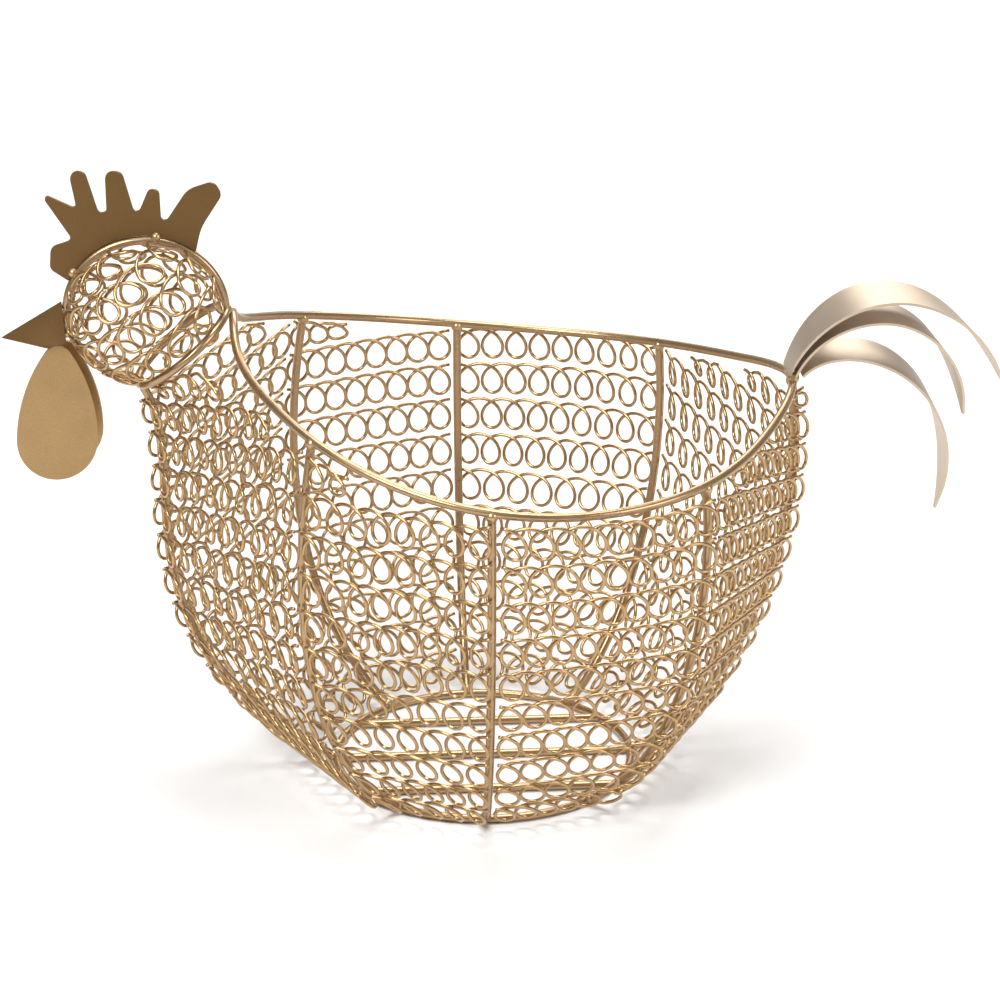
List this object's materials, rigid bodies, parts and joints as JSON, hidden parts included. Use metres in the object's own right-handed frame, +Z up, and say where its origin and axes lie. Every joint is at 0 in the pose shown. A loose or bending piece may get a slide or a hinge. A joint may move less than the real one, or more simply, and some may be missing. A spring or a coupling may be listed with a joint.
{
  "type": "wire produce basket",
  "caption": "Hen-shaped basket of welded rods covered with rows of looped wire, open at the back, for holding eggs or other produce.",
  "frame": {"origin": "centre of the base ring, on the surface that the basket stands on", "axes": "+Z up, +X towards the tail, -X towards the beak, -Y towards the hen's left side"},
  "size_m": [0.3807, 0.2228, 0.2438],
  "materials": {
    "gold_rod": "satin",
    "gold_wire": "satin",
    "bronze_sheet": "satin",
    "gold_sheet": "satin",
    "champagne_sheet": "satin",
    "weld_metal": "satin"
  },
  "bodies": {
    "root": {"base_ring": "gold_rod", "base_weld_beads": "weld_metal", "beak": "bronze_sheet", "beak_weld_beads": "weld_metal", "body_loop_row_01": "gold_wire", "body_loop_row_02": "gold_wire", "body_loop_row_03": "gold_wire", "body_loop_row_04": "gold_wire", "body_loop_row_05": "gold_wire", "body_loop_row_06": "gold_wire", "body_loop_row_07": "gold_wire", "body_loop_row_08": "gold_wire", "body_loop_row_09": "gold_wire", "body_loop_row_10": "gold_wire", "breast_loop_row_1": "gold_wire", "breast_loop_row_2": "gold_wire", "breast_loop_row_3": "gold_wire", "comb": "bronze_sheet", "comb_weld_beads": "weld_metal", "floor_bar_centre": "gold_rod", "floor_bar_left": "gold_rod", "floor_bar_right": "gold_rod", "front_keel_rib": "gold_rod", "head_hoop": "gold_rod", "head_loop_row_1": "gold_wire", "head_loop_row_2": "gold_wire", "head_loop_row_3": "gold_wire", "head_loop_row_4": "gold_wire", "left_front_rib": "gold_rod", "left_middle_rib": "gold_rod", "left_rear_rib": "gold_rod", "left_wattle": "gold_sheet", "neck_ring": "gold_rod", "neck_weld_beads": "weld_metal", "rear_keel_rib": "gold_rod", "right_front_rib": "gold_rod", "right_middle_rib": "gold_rod", "right_rear_rib": "gold_rod", "right_wattle": "gold_sheet", "rim_weld_beads": "weld_metal", "rim_wire": "gold_rod", "rump_loop_row_1": "gold_wire", "rump_loop_row_2": "gold_wire", "rump_loop_row_3": "gold_wire", "tail_feather_lower": "champagne_sheet", "tail_feather_middle": "champagne_sheet", "tail_feather_upper": "champagne_sheet", "tail_weld_beads": "weld_metal"}
  },
  "joints": []
}
